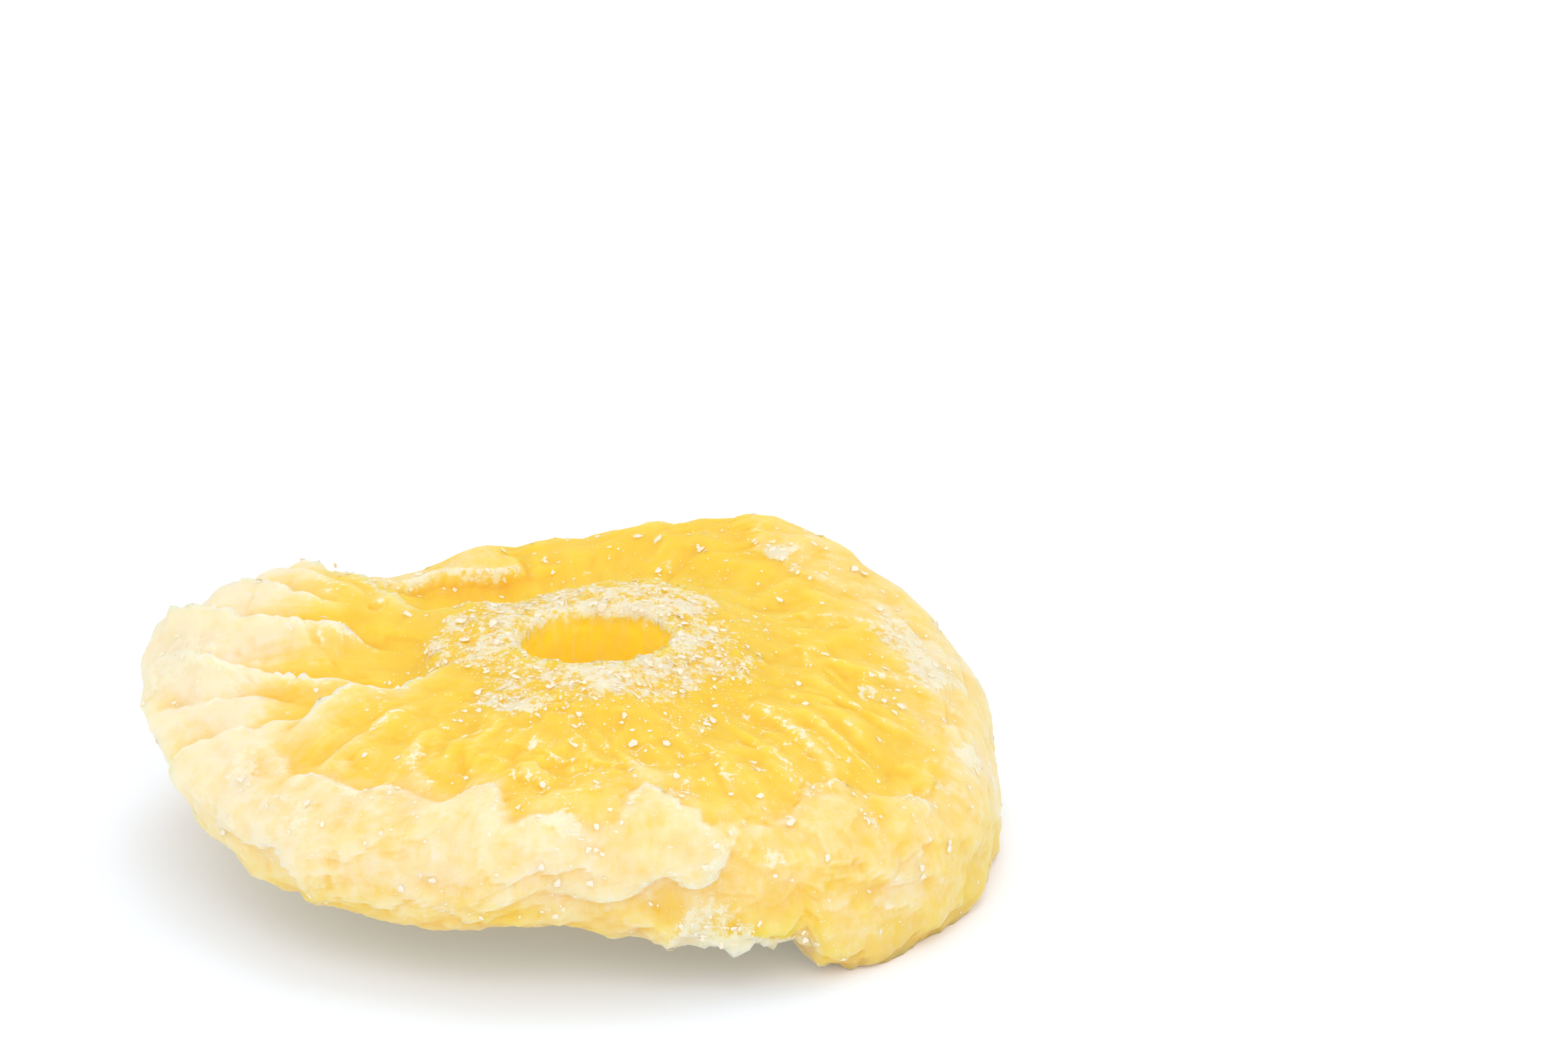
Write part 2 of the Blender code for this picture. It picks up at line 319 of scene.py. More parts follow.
wavy = noise_push(smooth, WIDE_RAG_SIZE, 31, WIDE_RAG)
torn = noise_push(wavy, FINE_RAG_SIZE, 32, FINE_RAG)
torn = noise_push(torn, FINE_RAG_SIZE / RAG_FINENESS, 33, FINE_RAG / RAG_FINENESS)
wavy_bearing, wavy_radius = polar(wavy)
torn_bearing, torn_radius = polar(torn)
torn_height = torn[..., 2]
upper_side = step(-0.6, 0.4, up)
rim_side = step(0.62, 0.98, across)
print("torn by up to mm:", round(float(abs(torn_radius - radius).max()) / MM, 1))

# %% [markdown]
# ## Petals
#
# Each fruitlet of the pineapple gives a petal of flesh that runs from core to rim. Dried,
# its thin far edge curls up into a pale lip that rides over its neighbour, and the valley
# behind the lip is painted a deeper gold as shade. The lips at the left of this slice are
# the boldest. Each petal could be a mesh of its own, but they are one flesh, so each is a
# line on the slice with a cliff on one side and a long slope on the other, and one loop
# raises them all.

# %% Petal lips
# Each lip's bearing at the rim and at the core, its inner and outer radius in mm, and its
# height in mm.
PETAL_LIPS = (
    (140, 153, 19, 42, 1.8),
    (150, 160, 23, 42, 0.8),
    (158, 168, 24, 42, 1.3),
    (169, 179, 20, 42, 2.2),
    (180, 200, 21, 36, 2.0),
    (190, 208, 28, 40, 0.8),
    (199, 216, 27, 40, 1.3),
    (211, 205, 15, 28, 2.2),
    (223, 218, 20, 30, 0.8),
    (236, 229, 21, 28, 0.7),
    (245, 238, 18, 26, 0.5),
    (253, 242, 19, 27, 0.5),
    (262, 256, 19, 26, 0.35),
    (270, 266, 21, 26, 0.4),
    (281, 279, 21, 27, 0.6),
    (292, 300, 18, 27, 0.6),
    (302, 314, 17, 25, 0.5),
    (312, 328, 16, 27, 0.9),
    (322, 336, 20, 29, 0.6),
    (334, 342, 18, 26, 0.5),
    (345, 352, 18, 28, 0.5),
    (2, 8, 18, 30, 0.5),
    (24, 28, 18, 28, 0.4),
    (82, 74, 20, 36, 0.5),
    (98, 92, 20, 36, 0.4),
)
LIP_CORE_RADIUS = 18.0 * MM
LIP_RIM_RADIUS = 35.0 * MM
LIP_CLIFF = 1.0 * MM
LIP_SLOPE = 5.5 * MM
LIP_END = 3.0 * MM
LIP_PALE = 2.4 * MM
LIP_CREST = 0.3 * MM
VALLEY_SHADE_WIDTH = 2.2 * MM

petals = np.zeros_like(radius)
lips = np.zeros_like(radius)
valley_shade = np.zeros_like(radius)
crests = np.zeros_like(radius)
for at_rim, at_core, inner, outer, lift in PETAL_LIPS:
    share = (wavy_radius - LIP_CORE_RADIUS) / (LIP_RIM_RADIUS - LIP_CORE_RADIUS)
    line = at_core + turned(at_rim, at_core) * share
    past = np.radians(turned(wavy_bearing, line)) * radius
    ends = step(inner * MM - LIP_END, inner * MM + LIP_END, radius)
    ends = ends * step(outer * MM + LIP_END, outer * MM - LIP_END, radius) * upper_side
    rise = step(-LIP_CLIFF, 0.0, past)
    petals += lift * MM * ends * rise * np.exp(-np.maximum(past, 0.0) / LIP_SLOPE)
    lips += lift * ends * rise * np.exp(-np.maximum(past, 0.0) / LIP_PALE)
    torn_past = np.radians(turned(torn_bearing, line)) * radius
    crests += np.minimum(lift, 1.0) * ends * bump(torn_past, LIP_CREST)
    # Painted shade: the valley behind each lip, to be painted deeper gold.
    valley_shade += lift * ends * (1.0 - rise) * bump(past, VALLEY_SHADE_WIDTH)
print("highest petal in mm:", round(float(petals.max()) / MM, 2))

# %% [markdown]
# ## Plates
#
# The rim is the softest flesh. It dried into thin pale plates that stand a little proud of
# the golden flesh inside them, each with a torn inner edge. At the front they also hang
# down the rim's face like a skirt, and the flesh under the skirt lies deeper. Thin shells
# laid on top would show gaps, so the plates are a low step in the slice's own surface.

# %% Plates' inner edges and the skirt
# Bearing, then the radius of the plates' inner edge, their height, and the width over
# which gold turns to cream, in mm, then how pale they are, from 0 to 1.
PLATE_STATIONS = (
    (0, 31.0, 0.2, 9.0, 0.55),
    (14, 29.0, 0.2, 8.0, 0.55),
    (38, 28.0, 0.2, 8.0, 0.45),
    (46, 24.0, 0.4, 3.0, 0.35),
    (54, 26.0, 0.5, 3.0, 0.35),
    (61, 26.8, 0.5, 3.0, 0.35),
    (63, 31.0, 0.3, 6.0, 0.2),
    (85, 31.5, 0.2, 8.0, 0.12),
    (106, 31.0, 0.2, 8.0, 0.12),
    (108, 24.4, 1.2, 0.8, 0.35),
    (116, 26.0, 1.5, 0.8, 0.38),
    (124, 27.3, 1.5, 0.8, 0.38),
    (129, 27.6, 1.4, 0.8, 0.4),
    (132, 29.5, 1.1, 0.8, 0.4),
    (137, 33.0, 0.2, 7.0, 0.45),
    (150, 33.0, 0.1, 9.0, 0.7),
    (165, 31.5, 0.1, 9.0, 0.92),
    (180, 31.5, 0.1, 9.0, 1.0),
    (198, 31.5, 0.1, 8.0, 0.75),
    (207, 31.5, 0.2, 8.0, 0.7),
    (212, 31.5, 0.4, 8.0, 0.68),
    (219, 31.3, 0.5, 8.0, 0.66),
    (226, 31.4, 0.5, 8.0, 0.65),
    (231, 30.9, 0.5, 8.0, 0.63),
    (237, 29.5, 0.4, 7.0, 0.63),
    (244, 31.1, 0.5, 7.0, 0.68),
    (249, 29.4, 0.5, 6.0, 0.68),
    (253, 28.2, 0.5, 5.0, 0.65),
    (256, 30.8, 0.6, 6.0, 0.7),
    (259, 31.3, 0.5, 7.0, 0.7),
    (263, 30.7, 0.5, 7.0, 0.7),
    (269, 30.9, 0.5, 7.0, 0.7),
    (275, 29.9, 0.4, 7.0, 0.65),
    (280, 27.4, 0.4, 6.0, 0.55),
    (284, 29.4, 0.5, 7.0, 0.65),
    (289, 31.6, 0.7, 7.0, 0.7),
    (291, 31.5, 0.3, 7.0, 0.5),
    (300, 31.0, 0.3, 7.0, 0.46),
    (306, 29.4, 0.4, 6.0, 0.4),
    (312, 27.0, 0.4, 6.0, 0.4),
    (320, 27.0, 0.4, 6.0, 0.38),
    (325, 29.3, 0.5, 6.0, 0.4),
    (330, 31.4, 0.7, 5.0, 0.42),
    (335, 32.8, 0.4, 4.0, 0.42),
    (345, 32.0, 0.2, 8.0, 0.5),
)
PLATE_EASE_DEG = 0.8
PLATE_CLIFF = 0.65 * MM
PLATE_OVERHANG = 0.15

# Bearing, then the height of the skirt's torn lower edge and its thickness, in mm.
SKIRT_STATIONS = (
    (200, 8.0, 0.0),
    (240, 9.5, 0.1),
    (251, 10.0, 0.3),
    (262, 10.6, 0.5),
    (272, 10.2, 0.8),
    (277, 11.4, 1.1),
    (280, 13.0, 1.2),
    (285, 11.0, 1.1),
    (288, 10.8, 0.9),
    (290, 15.0, 0.6),
    (300, 12.0, 0.2),
    (318, 8.0, 0.4),
    (340, 6.0, 0.2),
    (359, 6.0, 0.0),
)
SKIRT_CLIFF = 0.6 * MM

plate_edge, plate_lift, plate_fade, plate_pale = (
    around(PLATE_STATIONS, column, PLATE_EASE_DEG)(torn_bearing) for column in (1, 2, 3, 4)
)
past_edge = torn_radius - plate_edge
plates = plate_lift * step(-PLATE_CLIFF / 2, PLATE_CLIFF / 2, past_edge) * upper_side
skirt_foot = around(SKIRT_STATIONS, 1, PLATE_EASE_DEG)(torn_bearing)
skirt_lift = around(SKIRT_STATIONS, 2, PLATE_EASE_DEG)(torn_bearing)
past_foot = torn_height - skirt_foot
skirt = skirt_lift * step(-SKIRT_CLIFF / 2, SKIRT_CLIFF / 2, past_foot) * rim_side
print("highest plate in mm:", round(float(plates.max()) / MM, 2))

# %% [markdown]
# ## Small relief
#
# The rest of the rim's face is a crust of small overlapping plates, with a ragged hem at
# its foot. The upper face breaks into faint facets, and fine creases run down it from the
# core. The flesh in front is crumpled, the hole's wall keeps the ridges that the corer
# left, and sugar has made the core's top grainy. A displacement modifier could push one
# image into the surface, but each of these belongs to its own place, so each is a field
# of noise with its own limits.

# %% Crust of small plates, and facets
CRUST_SIZE = 5.5 * MM
CRUST_EDGE = 0.45 * MM
CRUST_RELIEF = 0.6 * MM
CRUST_FINENESS = 2.4
FINE_CRUST_SHARE = 0.35
CRUST_STRIDE = (2.3, 4.1, 1.3)
CHANCE_SPREAD = 9.0
PLATE_TILT = 0.6
PLATE_UNEVENNESS = 0.5
SKIRT_CALM = 0.6
FACET_RELIEF = 0.8 * MM
CORE_CALM = 0.75


def crust_field(points, size, seed):
    """Overlapping small plates: height about 0 to 1, a chance for each plate, and its edge.

    Each plate rises towards its lower edge and drops there to the next one.
    """
    shift = Vector([seed * stride for stride in CRUST_STRIDE])
    heights, chances, edges = [], [], []
    for point in points.reshape(-1, 3) / size:
        place = Vector(point) + shift
        distances, centres = noise.voronoi(place)
        chance = 0.5 + 0.5 * noise.noise(centres[0] * CHANCE_SPREAD)
        tilted = 0.5 + PLATE_TILT * (centres[0].z - place.z)
        heights.append(tilted + PLATE_UNEVENNESS * (chance - 0.5))
        chances.append(chance)
        edges.append((distances[1] - distances[0]) * size)
    shape = points.shape[:-1]
    edge = step(CRUST_EDGE, 0.0, np.array(edges).reshape(shape))
    return np.array(heights).reshape(shape), np.array(chances).reshape(shape), edge


crust, crust_chance, crust_edge = crust_field(torn, CRUST_SIZE, 2)
fine_crust, fine_chance, fine_edge = crust_field(torn, CRUST_SIZE / CRUST_FINENESS, 5)
crust_relief = CRUST_RELIEF * (crust - 0.5) + FINE_CRUST_SHARE * CRUST_RELIEF * (fine_crust - 0.5)
skirt_calm = 1.0 - SKIRT_CALM * step(0.3 * MM, 0.9 * MM, skirt_lift)
crust_relief = crust_relief * rim_side * skirt_calm

calm = 1.0 - CORE_CALM * step(CORE_RADIUS * 1.1, CORE_RADIUS * 0.7, radius)
facets = upper_side * (1.0 - rim_side) * calm
facet_relief = FACET_RELIEF * (crust_chance + 0.5 * fine_chance - 0.75) * facets
print("crust stands up to mm:", round(float(crust_relief.max()) / MM, 2))

# %% Swells, crumples, creases and the hem
SWELL_SIZE = 11.0 * MM
SWELL_RELIEF = 0.9 * MM
CRUMPLE_SIZE = 3.6 * MM
CRUMPLE_RELIEF = 0.4 * MM
WRINKLE_SIZE = 1.5 * MM
WRINKLE_RELIEF = 0.14 * MM
CREASE_WIDTH = 3.0 * MM
CREASE_LENGTH = 8.0 * MM
CREASE_RELIEF = 0.32 * MM
HEM_SIZE = 2.4 * MM
HEM_RELIEF = 0.6 * MM
FLAP_RAG = 1.4

swell = SWELL_RELIEF * noise_field(smooth, SWELL_SIZE, 3) * calm
crumple = CRUMPLE_RELIEF * noise_field(wavy, CRUMPLE_SIZE, 4) * calm
wrinkle = WRINKLE_RELIEF * noise_field(torn, WRINKLE_SIZE, 6) * step(-0.95, 0.0, up)

crease_place = wavy * MOAT_RADIUS / (wavy_radius[..., None] * CREASE_WIDTH)
crease_place[..., 2] = wavy_radius / CREASE_LENGTH
creases = 1.0 - 3.0 * abs(noise_field(crease_place, 1.0, 17))
crease_reach = step(CORE_RADIUS, MOAT_RADIUS, radius) * upper_side * (1.0 - rim_side)
creases = CREASE_RELIEF * creases * crease_reach

hem_noise = noise_field(smooth, HEM_SIZE, 18) + 0.6 * noise_field(smooth, HEM_SIZE / 2.5, 19)
hem_reach = rim_side * bump(up + 0.85, 0.25)
hem_reach = hem_reach * (1.0 + FLAP_RAG * bump(turned(bearing, FLAP_BEARING), FLAP_SPAN_DEG))
hem = HEM_RELIEF * hem_noise * hem_reach
print("hem hangs out up to mm:", round(float(hem.max()) / MM, 2))

# %% Ridges in the hole, and the core's grain
RIDGE_COUNT = 60
RIDGE_LENGTH = 25.0 * MM
RIDGE_RELIEF = 0.2 * MM
CORE_WAVE_SIZE = 4.0 * MM
CORE_FADE = 2.4 * MM
CORE_GRAIN_SIZE = 0.8 * MM
CORE_GRAIN_RELIEF = 0.25 * MM

turn = np.radians(bearing)
ridge_place = np.stack([np.cos(turn), np.sin(turn), height / RIDGE_LENGTH], axis=-1)
hole_wall = step(-0.88, -0.99, across)
ridges = RIDGE_RELIEF * noise_field(ridge_place, 2 * np.pi / RIDGE_COUNT, 7) * hole_wall

core_edge = CORE_RADIUS * (0.93 + 0.2 * noise_field(smooth, CORE_WAVE_SIZE, 8))
core_top = step(core_edge + CORE_FADE, core_edge - CORE_FADE, torn_radius) * step(0.0, 0.9, up)
grain = noise_field(smooth, CORE_GRAIN_SIZE, 10)
grain = grain + 0.5 * noise_field(smooth, CORE_GRAIN_SIZE / 2, 13)
grain = CORE_GRAIN_RELIEF * (grain + 0.5) * core_top
print("core's grain up to mm:", round(float(grain.max()) / MM, 2))

# %% Pockets, and all the relief together
RELIEF_LEVEL = 0.5 * MM

# Bearing, radius, height, size and depth of each pocket in the flesh, in mm.
POCKETS = (
    (223.5, 28.5, 16.5, 1.6, 0.5),
    (231.5, 35.0, 12.0, 1.0, 0.5),
    (231.0, 35.0, 10.0, 1.1, 0.6),
    (255.5, 29.0, 18.0, 1.0, 0.6),
    (282, 31.5, 9.5, 2.2, 0.25),
)

pockets = np.zeros_like(radius)
for at, out, high, size, depth in POCKETS:
    sideways = np.radians(turned(torn_bearing, at)) * radius
    away = np.sqrt(sideways**2 + (torn_radius - out * MM) ** 2 + (torn_height - high * MM) ** 2)
    pockets += depth * MM * step(1.25 * size * MM, 0.55 * size * MM, away)

relief = petals + plates + skirt + crust_relief + swell + crumple + wrinkle + ridges + grain
relief = relief + creases + hem + facet_relief - pockets - RELIEF_LEVEL
overhang = PLATE_OVERHANG * plate_lift * bump(past_edge - 0.25 * MM, 0.4 * MM) * upper_side
inward = np.stack([-np.cos(turn), -np.sin(turn), np.zeros_like(turn)], axis=-1)
points = smooth + outward(smooth) * relief[..., None] + inward * overhang[..., None]
points[..., 0] += HOLE_AT[0]
points[..., 1] += HOLE_AT[1]
points[..., 2] = np.maximum(points[..., 2], 0.0)
print("relief in mm: from", round(relief.min() / MM, 2), "to", round(relief.max() / MM, 2))

# %% [markdown]
# ## From torus to slice
#
# The mesh could be written out face by face. A torus primitive already has its faces, and
# its points in rows round the hole and round the section, so each point is only moved to
# the same row and column of the slice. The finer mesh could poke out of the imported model's
# box, so it is first fitted to that box, side by side.

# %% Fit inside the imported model's box
BOX_MARGIN = 0.25 * MM


def fit_in_box(points, box, margin):
    """Points scaled inwards on each side where they would stand out of the box."""
    inside = points.copy()
    for axis in range(3):
        values = points[..., axis]
        high = max(1.0, values.max() / (box[1][axis] - margin))
        low = max(1.0, values.min() / (box[0][axis] + margin)) if axis < 2 else 1.0
        inside[..., axis] = np.where(values > 0, values / high, values / low)
        print("axis", "XYZ"[axis], "divided by", round(float(low), 4), round(float(high), 4))
    return inside


points = fit_in_box(points, cad_box, BOX_MARGIN)

# %% The slice's mesh


def torus_slice(name, grid):
    """A torus primitive whose points are moved to a grid of rows round it and round its tube."""
    rows, columns = grid.shape[:2]
    middle = HOLE_RADIUS + TYPICAL_WIDTH / 2
    bpy.ops.mesh.primitive_torus_add(
        major_segments=rows,
        minor_segments=columns,
        major_radius=middle,
        minor_radius=TYPICAL_THICKNESS / 2,
    )
    piece = bpy.context.object
    piece.name = name
    mesh = piece.data
    mesh.name = name
    start = np.zeros(len(mesh.vertices) * 3)
    mesh.vertices.foreach_get("co", start)
    start = start.reshape(-1, 3)
    turn = np.arctan2(start[:, 1], start[:, 0])
    tilt = np.arctan2(start[:, 2], np.hypot(start[:, 0], start[:, 1]) - middle)
    row = np.rint(turn / (2 * np.pi) * rows).astype(int) % rows
    column = np.rint(tilt / (2 * np.pi) * columns).astype(int) % columns
    mesh.vertices.foreach_set("co", grid[row, column].ravel())
    mesh.update()
    mesh.shade_smooth()
    return piece, row, column


slice_piece, slice_row, slice_column = torus_slice("sugared_ring", points)
print("slice:", len(slice_piece.data.vertices), "points")

# %% [markdown]
# ## Where the flesh is gold, cream or frosted
#
# Seen from above, light goes deep into the thick inner flesh and comes back golden. The
# torn rim is thin, dry and full of tiny cracks, so it looks cream. Sugar frost whitens the
# core and every lip. Creases, valleys, pockets and the rim's low parts are also painted a
# deeper gold as shade, and the hole's wall is painted paler as light. The looks could be
# painted by hand, but where each belongs depends on the form, so it is worked out from the
# same fields as the form, and kept on the points as attributes.

# %% Places that stand proud
PROUD_SIGMA = 5.0
FINE_PROUD_SIGMA = 1.6


def softened(field, sigma):
    """A field averaged over about sigma grid steps each way."""
    kernel = 1.0
    for axis, count in enumerate(field.shape):
        steps = np.fft.fftfreq(count).reshape([-1, 1] if axis == 0 else [1, -1])
        kernel = kernel * np.exp(-2.0 * (np.pi * sigma * steps) ** 2)
    return np.fft.ifft2(np.fft.fft2(field) * kernel).real


proud = np.clip((relief - softened(relief, PROUD_SIGMA)) / MM, -0.5, 0.5)
fine_proud = np.clip((relief - softened(relief, FINE_PROUD_SIGMA)) / MM, -0.25, 0.25)
flap_here = rim_side * step(-0.4, -0.8, up) * bump(turned(bearing, FLAP_BEARING), FLAP_SPAN_DEG)
bare_wall = hole_wall * step(0.9, 0.6, up)
print("proud by up to mm:", round(float(proud.max()), 2))

# %% Tone, from gold at 0 to cream at 1
FLESH_TONE = 0.05
PLATE_TONE = 0.08
RIM_PALE = 0.45
UNDERSIDE_TONE = 0.75
# Painted light: the hole's shaded wall is painted paler than the flesh, and paler on its ridges.
HOLE_LIGHTENED_TONE = 0.4
RIDGE_SHADING_TONE = 1.5
# Painted shade: the lower part of the rim's face is painted deeper gold.
LOW_RIM_SHADE_GOLD = 0.2
# Painted shade: the flesh under the skirt is painted deeper gold.
SKIRT_SHADE_GOLD = 0.06
BACK_GOLD = 0.2
BACK_GOLD_BEARING = 92.0
BACK_GOLD_SPAN_DEG = 22.0
SUDDEN_SHARE = 0.35
FADE_BEND = 1.4
LIP_TONE = 0.26
VALLEY_SHADE_TONE = 0.12
# Painted shade and light: places that stand proud are painted paler, creases deeper gold.
RELIEF_SHADING_TONE = 0.2
FINE_RELIEF_SHADING_TONE = 0.3
CLOUD_TONE = 0.18
CLOUD_SIZE = 6.0 * MM
CRUST_TONE = 0.4
FINE_CRUST_TONE = 0.2
FACET_TONE = 0.35
# Painted shade: the pockets are painted deeper gold.
POCKET_SHADE_TONE = 0.4
# The torn flap is pale frosted flesh, and is painted paler still as light where it hangs in the
# rim's shade.
FLAP_LIGHTENED_TONE = 0.5

sudden = SUDDEN_SHARE * np.clip(plate_lift / (0.5 * MM), 0.0, 1.0)
gradual = np.clip(past_edge / plate_fade + 1.0, 0.0, 1.0) ** FADE_BEND
whitened = sudden * step(-0.5 * MM, -0.1 * MM, past_edge) + (1.0 - sudden) * gradual
rim_pale = RIM_PALE * rim_side * step(0.8, 0.2, up)
# around() gives metres, so the paleness is divided by MM to be a plain share again.
tone = FLESH_TONE + whitened * (PLATE_TONE + np.maximum(plate_pale / MM, rim_pale))
# Pale lips, and painted shade of deeper gold in the valleys behind them.
tone = tone + LIP_TONE * lips - VALLEY_SHADE_TONE * valley_shade
# Painted shade and light: proud places paler, creases deeper gold.
tone = tone + RELIEF_SHADING_TONE * proud + FINE_RELIEF_SHADING_TONE * fine_proud
tone = tone + CLOUD_TONE * noise_field(smooth, CLOUD_SIZE, 14)
chance_tone = CRUST_TONE * (crust_chance - 0.5) + FINE_CRUST_TONE * (fine_chance - 0.5)
tone = tone + (rim_side + FACET_TONE * facets) * chance_tone
# Painted shade: the lower part of the rim's face is painted deeper gold.
tone = tone - LOW_RIM_SHADE_GOLD * rim_side * step(0.3, -0.5, up)
# Painted shade: the flesh under the skirt's torn edge is painted deeper gold.
under_skirt_shade = step(0.0, -1.2 * MM, past_foot) * step(0.2 * MM, MM, skirt_lift)
tone = tone - SKIRT_SHADE_GOLD * rim_side * under_skirt_shade
# Painted shade: the pockets are painted deeper gold.
tone = tone - POCKET_SHADE_TONE * pockets / MM + FLAP_LIGHTENED_TONE * flap_here
behind = bump(turned(bearing, BACK_GOLD_BEARING), BACK_GOLD_SPAN_DEG)
tone = tone - BACK_GOLD * upper_side * behind
tone = tone + (UNDERSIDE_TONE - tone) * step(-0.7, -0.98, up)
# Painted light: the hole's shaded wall is painted paler, paler still on the corer's ridges.
lightened_wall_tone = HOLE_LIGHTENED_TONE + RIDGE_SHADING_TONE * ridges / MM
tone = np.clip(tone + (lightened_wall_tone - tone) * hole_wall, 0.0, 1.0)
print("mean tone:", round(float(tone.mean()), 2))

# %% [markdown]
# ## Frost
#
# Frost is sugar that came out of the syrup as it dried. It lies all over the core, on the
# lips, along torn edges, and in loose patches on the rim. An even dusting of noise would
# be simpler, but frost keeps to edges, so most of it is summed from the fields of the
# form. The largest patches are placed one by one, and noise breaks up what is too even.

# %% Frost, from bare at 0 to white at 1
# Bearing, then radius, height and size in mm of each patch of frost.
FROST_PATCHES = (
    (178, 36.6, 18.0, 3.6),
    (209, 33.6, 15.0, 2.4),
    (224, 34.0, 15.0, 1.6),
    (22, 28.0, 18.0, 3.0),
    (11, 30.0, 15.6, 3.0),
    (351, 33.0, 11.7, 2.2),
    (319, 31.0, 13.0, 1.3),
    (331, 33.8, 6.0, 1.6),
    (359, 23.8, 16.3, 1.2),
    (287, 31.6, 13.5, 1.0),
    (299, 32.8, 12.9, 0.9),
    (174, 23.0, 20.0, 1.5),
    (54, 26.8, 21.0, 1.4),
    (266, 31.2, 17.0, 1.6),
    (290, 33.0, 6.0, 3.6),
)
PATCH_FROST = 0.5
CORE_FROST = 0.46
HOLE_RIM_FROST = 0.1
BARER_CORE = 0.07
BARER_CORE_BEARING = 0.0
BARER_CORE_SPAN_DEG = 30.0
CHIP_FROST = 0.3
FINE_CHIPS = 0.7
CREST_FROST = 0.35
LIP_FROST = 0.06
PROUD_FROST = 0.5
FLAP_FROST = 0.8
EDGE_FROST = 0.6
SKIRT_FROST = 0.3
FROST_BREAKS = 0.2
FROST_BREAK_SIZE = 2.0 * MM
FROST_DRIFTS = 0.1
FROST_DRIFT_SIZE = 7.0 * MM

hole_rim = step(CORE_RADIUS * 0.8, CORE_RADIUS * 0.5, radius)
frost = core_top * (CORE_FROST + HOLE_RIM_FROST * hole_rim)
barer = bump(turned(bearing, BARER_CORE_BEARING), BARER_CORE_SPAN_DEG)
frost = frost - BARER_CORE * core_top * barer
chips = crust_edge * step(0.45, 0.6, crust_chance)
chips = chips + FINE_CHIPS * fine_edge * step(0.5, 0.65, fine_chance)
frost = frost + CHIP_FROST * chips * (rim_side + facets * step(0.05, 0.3, tone))
frost = frost + CREST_FROST * crests + LIP_FROST * lips
frost = frost + PROUD_FROST * np.clip(fine_proud, 0.0, 0.5) + FLAP_FROST * flap_here
edge_frost = np.minimum(plate_lift / MM, 0.7) * bump(past_edge - 0.4 * MM, 0.5 * MM)
frost = frost + EDGE_FROST * edge_frost * upper_side
hem_frost = bump(past_foot - 0.5 * MM, 0.5 * MM) * rim_side * skirt_lift / MM
frost = frost + SKIRT_FROST * hem_frost
for at, out, high, size in FROST_PATCHES:
    sideways = np.radians(turned(torn_bearing, at)) * radius
    away = np.sqrt(sideways**2 + (torn_radius - out * MM) ** 2 + (torn_height - high * MM) ** 2)
    frost = frost + PATCH_FROST * step(1.4 * size * MM, 0.6 * size * MM, away)
frost = frost + FROST_BREAKS * noise_field(smooth, FROST_BREAK_SIZE, 15)
frost = frost + FROST_DRIFTS * noise_field(smooth, FROST_DRIFT_SIZE, 16)
frost = np.clip(frost * (1.0 - bare_wall), 0.0, 1.0)
print("mean frost:", round(float(frost.mean()), 2))

# %% [markdown]
# ## Foot, veins and fibres
#
# The foot is painted a warmer orange, as shade, where little light comes in. Fine pale veins
# show in front, and the fibres run from core to rim and on down the rim's face. A texture
# could hold these as pictures, but the points already know where they lie, so each look
# is one more value on the points, and the shader reads them by name.

# %% Foot, veins, fibres, and attributes
# Painted shade: the rim's foot, low and near the table, is painted a warmer orange.
FOOT_SHADE_SHARE = 0.75
FOOT_HEIGHT = 3.5 * MM
VEIN_BEARING = 285.0
VEIN_SPAN_DEG = 45.0
VEIN_LEAST = 0.25
FIBRE_LENGTH = 10.0 * MM
RIM_FIBRE_LENGTH = 3.0 * MM

foot = FOOT_SHADE_SHARE * rim_side * step(-0.4, -0.95, up)
foot = np.maximum(foot, FOOT_SHADE_SHARE * rim_side * step(FOOT_HEIGHT, 0.0, height))
foot = foot * (1.0 - flap_here)
veins = step(13.0 * MM, 17.0 * MM, radius) * step(32.0 * MM, 27.0 * MM, radius)
in_front = bump(turned(bearing, VEIN_BEARING), VEIN_SPAN_DEG)
veins = veins * (VEIN_LEAST + (1.0 - VEIN_LEAST) * in_front)
fibre_run = radius / FIBRE_LENGTH + rim_side * height / RIM_FIBRE_LENGTH
fibres = np.stack([np.cos(turn), np.sin(turn), fibre_run], axis=-1)
# Painted light: how much the hole's wall is painted a brighter gold and glows, most in the grooves.
glowing_wall = bare_wall * (0.8 - 2.0 * np.clip(ridges / MM, -0.1, 0.3))


def keep(piece, name, kind, values):
    """Stores one value, or one vector, for each point of the slice."""
    attribute = piece.data.attributes.new(name, kind, "POINT")
    key = "vector" if kind == "FLOAT_VECTOR" else "value"
    flat = values[slice_row, slice_column].astype(np.float32)
    attribute.data.foreach_set(key, flat.ravel())


looks = {"tone": tone, "frost": frost, "veins": veins, "hole_wall": glowing_wall, "foot": foot}
for name, values in looks.items():
    keep(slice_piece, name, "FLOAT", values)
keep(slice_piece, "fibre", "FLOAT_VECTOR", fibres)
print("attributes kept:", sorted(looks) + ["fibre"])

# %% [markdown]
# ## Sugared pineapple flesh
#
# Dried flesh is translucent, soft-edged and full of sugar: light enters, spreads a few
# millimetres and comes out warmer. The shader is a Principled with strong subsurface
# scattering, whose red and green travel further than its blue. Light that has soaked
# through the whole slice also comes out of the hole's wall, further than the scattering
# carries it, so a faint golden glow stands for it there. A true volume would carry all this
# light by itself, but it is slow and grainy, so scattering near the surface stands for it.

# %% Colours and nodes


def linear(hex_colour):
    """An sRGB hex colour as the linear red, green, blue and alpha that shaders expect."""
    channels = [int(hex_colour[i : i + 2], 16) / 255 for i in (1, 3, 5)]
    return [c / 12.92 if c <= 0.04045 else ((c + 0.055) / 1.055) ** 2.4 for c in channels] + [1.0]


